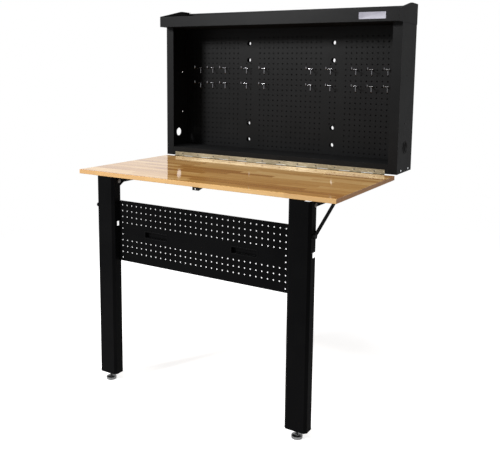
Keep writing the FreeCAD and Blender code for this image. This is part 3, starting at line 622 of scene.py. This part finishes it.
def turned(profile, steps, closed=False):
    # (radius, height) points spun round Z
    bm = bmesh.new()
    points = [bm.verts.new((radius, 0.0, height)) for radius, height in profile]
    pairs = list(zip(points, points[1:]))
    if closed:
        pairs.append((points[-1], points[0]))
    lines = [bm.edges.new(pair) for pair in pairs]
    bmesh.ops.spin(bm, geom=points + lines, cent=(0, 0, 0), axis=(0, 0, 1), angle=math.tau,
                   steps=steps, use_merge=True)
    bmesh.ops.remove_doubles(bm, verts=bm.verts, dist=1e-7)
    bmesh.ops.recalc_face_normals(bm, faces=bm.faces)
    return bm


def bar(size, centre):
    bm = bmesh.new()
    bmesh.ops.create_cube(bm, size=1.0)
    bmesh.ops.scale(bm, vec=size, verts=bm.verts)
    bmesh.ops.translate(bm, vec=centre, verts=bm.verts)
    return bm


def hexBar(flats, length, middle):
    # six sided bar along Z, its width given across the flats
    bm = bmesh.new()
    corner = flats / math.sqrt(3)
    bmesh.ops.create_cone(bm, cap_ends=True, segments=6, radius1=corner, radius2=corner,
                          depth=length)
    bmesh.ops.translate(bm, vec=(0, 0, middle), verts=bm.verts)
    return bm


def gather(shapes):
    whole = bmesh.new()
    for shape in shapes:
        mesh = meshOf("scrap", shape)
        whole.from_mesh(mesh)
        bpy.data.meshes.remove(mesh)
    return whole


def carve(shape, cutter):
    holders = [addObject("scrap", meshOf("scrap", bm)) for bm in (shape, cutter)]
    cut = holders[0].modifiers.new("cut", "BOOLEAN")
    cut.operation = "DIFFERENCE"
    cut.solver = "EXACT"
    cut.use_self = True
    cut.object = holders[1]
    result = bmesh.new()
    result.from_object(holders[0], bpy.context.evaluated_depsgraph_get())
    for holder in holders:
        mesh = holder.data
        bpy.data.objects.remove(holder)
        bpy.data.meshes.remove(mesh)
    return result


def placed(bm, centre, along=(0, 0, 1), spin=0.0):
    # turned by spin degrees round Z, then Z laid along a direction and moved to the centre
    turn = Vector((0, 0, 1)).rotation_difference(Vector(along)).to_matrix().to_4x4()
    own = Matrix.Rotation(math.radians(spin), 4, "Z")
    bmesh.ops.transform(bm, matrix=Matrix.Translation(centre) @ turn @ own, verts=bm.verts)
    return bm


def makePiece(name, bm, finish, body, replaced=(), sharpAt=32.0):
    # smooth shaded up to the sharp angle in degrees
    limit = math.radians(sharpAt)
    for face in bm.faces:
        face.smooth = True
    for edge in bm.edges:
        edge.smooth = len(edge.link_faces) == 2 and edge.calc_face_angle() < limit
    piece = addObject(name, meshOf(name, bm))
    piece.data.materials.append(finish)
    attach(piece, body)
    if replaced:
        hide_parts(*replaced)


crownSteps = 5
crossRecess = {"reach": 1.25, "arm": 0.27, "depth": 0.55, "taper": 0.62, "headSteps": 32}
hingeScrew = {"count": 12, "rise": 0.7, "turn": 37.0}
bracketScrew = {"radius": 0.005, "spread": 0.046, "rise": 0.55, "turn": 700.0}
sideScrew = {"radius": 0.0046, "height": 0.0019, "rise": 0.0013, "depths": (-0.140, -0.042),
             "level": -0.3085, "outside": 0.6000, "firstTurn": 20.0, "turn": 900.0}


def domeProfile(radius, height, rise):
    # flat underside, short straight side and a rounded crown
    points = [(0.0, 0.0), (radius, 0.0), (radius, height - rise)]
    for step in range(1, crownSteps + 1):
        turn = step / (crownSteps + 1) * math.pi / 2
        points.append((radius * math.cos(turn), height - rise + rise * math.sin(turn)))
    points.append((0.0, height))
    return points


def crossCutter(length, width, top, depth):
    # two crossed arms that narrow towards the bottom of the recess
    whole = gather([bar((length, width, depth * 2), (0, 0, top)),
                    bar((width, length, depth * 2), (0, 0, top))])
    for corner in whole.verts:
        if corner.co.z < top:
            corner.co.x *= crossRecess["taper"]
            corner.co.y *= crossRecess["taper"]
    return whole


def crossHead(radius, height, rise):
    head = turned(domeProfile(radius, height, rise), crossRecess["headSteps"])
    return carve(head, crossCutter(radius * crossRecess["reach"], radius * crossRecess["arm"],
                                   height, height * crossRecess["depth"]))


def hingeScrews():
    low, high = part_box("hinge_screws")
    radius = (high.z - low.z) / 2
    first = low.x + radius
    pitch = (high.x - low.x - 2 * radius) / (hingeScrew["count"] - 1)
    heads = []
    for number in range(hingeScrew["count"]):
        head = crossHead(radius, high.y - low.y, (high.y - low.y) * hingeScrew["rise"])
        centre = (first + number * pitch, high.y, (low.z + high.z) / 2)
        heads.append(placed(head, centre, (0, -1, 0), number * hingeScrew["turn"]))
    makePiece("hinge_screw_heads", gather(heads), darkScrew, "cabinet",
              ["hinge_screws"])


def sideScrews():
    heads = []
    for depth in sideScrew["depths"]:
        for side in (-1, 1):
            head = crossHead(sideScrew["radius"], sideScrew["height"], sideScrew["rise"])
            centre = (side * sideScrew["outside"], depth, sideScrew["level"])
            heads.append(placed(head, centre, (side, 0, 0),
                                sideScrew["firstTurn"] + depth * sideScrew["turn"]))
    makePiece("side_screws", gather(heads), zincPlate, "cabinet")


def bracketScrews():
    # six cross head screws under each bracket plate
    low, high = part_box("bracket_screws")
    radius = bracketScrew["radius"]
    height = high.z - low.z
    outer = high.x - radius
    inner = outer - bracketScrew["spread"]
    rows = (low.y + radius, (low.y + high.y) / 2, high.y - radius)
    heads = []
    for side in (-1, 1):
        for across in (inner, outer):
            for back in rows:
                head = crossHead(radius, height, height * bracketScrew["rise"])
                heads.append(placed(head, (side * across, back, high.z), (0, 0, -1),
                                    back * bracketScrew["turn"]))
    makePiece("bracket_screw_heads", gather(heads), darkScrew, "worktop",
              ["bracket_screws"])


hingeScrews()
sideScrews()
bracketScrews()
print("screws made")

tagPlate = {"size": (0.116, 0.0012, 0.028), "centre": (0.487, -0.2406, 0.3322), "corner": 0.0025,
            "cornerSteps": 4, "rim": 0.0016, "sunk": 0.0004, "sharpAt": 50.0}


def makePlate():
    # bare plate with rounded corners and a low rim, on the tray's front lip
    bm = bar(tagPlate["size"], tagPlate["centre"])
    throughEdges = [edge for edge in bm.edges
                    if abs(edge.verts[0].co.y - edge.verts[1].co.y) > tagPlate["size"][1] / 2]
    bmesh.ops.bevel(bm, geom=throughEdges, offset=tagPlate["corner"], offset_type="OFFSET",
                    affect="EDGES", segments=tagPlate["cornerSteps"], profile=0.5, material=-1)
    front = min(bm.faces, key=lambda face: face.calc_center_median().y)
    bmesh.ops.inset_region(bm, faces=[front], thickness=tagPlate["rim"])
    bmesh.ops.translate(bm, vec=(0, tagPlate["sunk"], 0), verts=front.verts)
    makePiece("plain_tag", bm, paleTag, "cabinet", sharpAt=tagPlate["sharpAt"])


makePlate()
print("plate made")

foot = {
    "pad": ((0.0, 0.0), (0.0192, 0.0), (0.0208, 0.0008), (0.0215, 0.0022), (0.0215, 0.0098),
            (0.0209, 0.0112), (0.0195, 0.0119), (0.0150, 0.0128), (0.0118, 0.0134),
            (0.0108, 0.0140), (0.0106, 0.0150), (0.0100, 0.0155), (0.0060, 0.0156)),
    "pitch": 0.0015, "crest": 0.0050, "root": 0.0043, "crestShares": (0.45, 0.55),
    "threadStart": 0.0160, "threadEnd": 0.0885, "tip": 0.0005, "tipShare": 0.8, "steps": 40,
}
lockNut = {"flats": 0.017, "hole": 0.0051, "rim": 0.565, "slope": 0.0012, "over": 0.004,
           "turn": 12.0, "rimSteps": 48, "holeSteps": 32}


def footProfile():
    # pad and hub, then the stem with a thread of separate ridges
    points = list(foot["pad"])
    height = foot["threadStart"]
    points.append((foot["root"], height))
    while height + foot["pitch"] < foot["threadEnd"]:
        points += [(foot["crest"], height + foot["pitch"] * share)
                   for share in foot["crestShares"]]
        height += foot["pitch"]
        points.append((foot["root"], height))
    end = foot["threadEnd"] + foot["tip"]
    return points + [(foot["root"] * foot["tipShare"], end), (0.0, end)]


def hexNut(height):
    # hexagon with its corners turned off at both ends, and a bore
    bm = hexBar(lockNut["flats"], height, height / 2)
    rim = lockNut["flats"] * lockNut["rim"]
    slope, over = lockNut["slope"], lockNut["over"]
    for end, way in ((0.0, 1), (height, -1)):
        ring = turned([(rim - slope, end - way * slope / 2), (rim + over, end - way * slope / 2),
                       (rim + over, end + way * slope), (rim + slope, end + way * slope)],
                      lockNut["rimSteps"], closed=True)
        bm = carve(bm, ring)
    hole = lockNut["hole"]
    bore = turned([(0, -slope), (hole, -slope), (hole, height + slope), (0, height + slope)],
                  lockNut["holeSteps"])
    return carve(bm, bore)


def makeFeet():
    for side, word in sides:
        low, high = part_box(word + "_levelling_foot")
        centre = ((low.x + high.x) / 2, (low.y + high.y) / 2)
        stem = placed(turned(footProfile(), foot["steps"]), (*centre, low.z))
        makePiece(word + "_foot_and_stem", stem, footNickel, word + "_foot",
                  [word + "_levelling_foot"])
        low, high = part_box(word + "_foot_nut")
        nut = placed(hexNut(high.z - low.z), (*centre, low.z), spin=lockNut["turn"] * side)
        makePiece(word + "_lock_nut", nut, footNickel, "leg_frame",
                  [word + "_foot_nut"])


makeFeet()
print("feet made")

pinShape = {"crown": 0.55, "socketDepth": 0.55, "tailCrown": 0.4, "turn": 15.0,
            "headSteps": 48, "rodSteps": 32, "tailSteps": 40}
pivotScrew = {"head": 0.0085, "headHeight": 0.0040, "shank": 0.005, "socket": 0.006,
              "tail": 0.0085, "tailHeight": 0.0040}
braceScrew = {"head": 0.0080, "headHeight": 0.0044, "shank": 0.004, "socket": 0.005,
              "tail": 0.0080, "tailHeight": 0.0034}


def socketHead(radius, height, socket):
    head = turned(domeProfile(radius, height, height * pinShape["crown"]),
                  pinShape["headSteps"])
    return carve(head, hexBar(socket, height * pinShape["socketDepth"] * 2, height))


def headedPin(node, side, facts):
    # a pin along X with a socket head outside and a plain head inside
    low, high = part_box(node)
    axis = ((low.y + high.y) / 2, (low.z + high.z) / 2)
    outside, inside = (high.x, low.x) if side > 0 else (low.x, high.x)
    headHeight, tail = facts["headHeight"], facts["tailHeight"]
    head = placed(socketHead(facts["head"], headHeight, facts["socket"]),
                  (outside - side * headHeight, *axis), (side, 0, 0), pinShape["turn"])
    radius, length = facts["shank"], abs(outside - inside) - headHeight - tail / 2
    rod = placed(turned([(0, 0), (radius, 0), (radius, length), (0, length)],
                        pinShape["rodSteps"]),
                 (inside + side * tail / 2, *axis), (side, 0, 0))
    end = placed(turned(domeProfile(facts["tail"], tail, tail * pinShape["tailCrown"]),
                        pinShape["tailSteps"]),
                 (inside + side * tail, *axis), (-side, 0, 0))
    return gather([head, rod, end])


def makePins():
    for side, word in sides:
        makePiece(word + "_pivot_screw", headedPin(word + "_pivot_bolt", side, pivotScrew),
                  darkScrew, "leg_frame", [word + "_pivot_bolt"])
        makePiece(word + "_brace_screw", headedPin(word + "_brace_pin", side, braceScrew),
                  darkScrew, "worktop", [word + "_brace_pin"])


makePins()
print("pins made")

bush = {"flange": 0.0020, "round": 0.0006, "hole": 0.0075, "collar": 0.0037, "steps": 64}


def bushProfile(rim, length):
    # collar through the panel between two flanges, round the open hole
    hole = rim - bush["hole"]
    collar = rim - bush["collar"]
    lip, soft = bush["flange"], bush["round"]
    return [(hole + soft, 0.0), (rim - soft, 0.0), (rim, soft), (rim, lip - soft),
            (rim - soft, lip), (collar, lip), (collar, length - lip),
            (rim - soft, length - lip), (rim, length - lip + soft), (rim, length - soft),
            (rim - 2 * soft, length), (hole + 2 * soft, length), (hole, length - 2 * soft),
            (hole, soft)]


def makeBushes():
    for side, word in sides:
        low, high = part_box(word + "_cable_grommet")
        start = low.x if side > 0 else high.x
        centre = (start, (low.y + high.y) / 2, (low.z + high.z) / 2)
        ring = turned(bushProfile((high.z - low.z) / 2, high.x - low.x), bush["steps"],
                      closed=True)
        makePiece(word + "_cable_bush", placed(ring, centre, (side, 0, 0)), softRubber,
                  "cabinet", [word + "_cable_grommet"])


makeBushes()
print("bushes made")

crossWire = {
    "columns": (-20.5, -17.5, -14.5, -9.5, -5.5, 4.5, 8.5, 13.5, 16.5, 19.5),
    "rows": (4.5, 1.5), "pitch": 0.025, "depth": -0.0310, "above": 0.0030,
    "length": 0.0200, "radius": 0.00175, "tip": 0.7, "tipRise": 0.4, "steps": 16,
}


def crossWires():
    # a short wire welded across the root of every hook
    radius, half = crossWire["radius"], crossWire["length"] / 2
    tip, rise = radius * crossWire["tip"], radius * crossWire["tipRise"]
    profile = [(0.0, -half), (tip, -half), (radius, -half + rise), (radius, half - rise),
               (tip, half), (0.0, half)]
    wires = []
    for row in crossWire["rows"]:
        for column in crossWire["columns"]:
            centre = (column * crossWire["pitch"], crossWire["depth"],
                      row * crossWire["pitch"] + crossWire["above"])
            wires.append(placed(turned(profile, crossWire["steps"]), centre, (1, 0, 0)))
    makePiece("hook_cross_wires", gather(wires), chromeWire, "cabinet")


crossWires()
print("hook wires made")

softEdge = {"parts": ("_tray_end", "_pull_cup"), "width": 0.0005, "segments": 2,
            "sharp": 40.0, "weld": 0.00002, "flat": 1.0}     # sharp and flat in degrees


def softenEdges(piece):
    # the flat faces are made whole first, so that only true edges are rounded
    weld = piece.modifiers.new("weld", "WELD")
    weld.merge_threshold = softEdge["weld"]
    flat = piece.modifiers.new("flat", "DECIMATE")
    flat.decimate_type = "DISSOLVE"
    flat.angle_limit = math.radians(softEdge["flat"])
    rounding = piece.modifiers.new("rounding", "BEVEL")
    rounding.width = softEdge["width"]
    rounding.segments = softEdge["segments"]
    rounding.limit_method = "ANGLE"
    rounding.angle_limit = math.radians(softEdge["sharp"])
    rounding.harden_normals = True


for _, word in sides:
    for ending in softEdge["parts"]:
        softenEdges(nodes[word + ending])
print("edges softened")
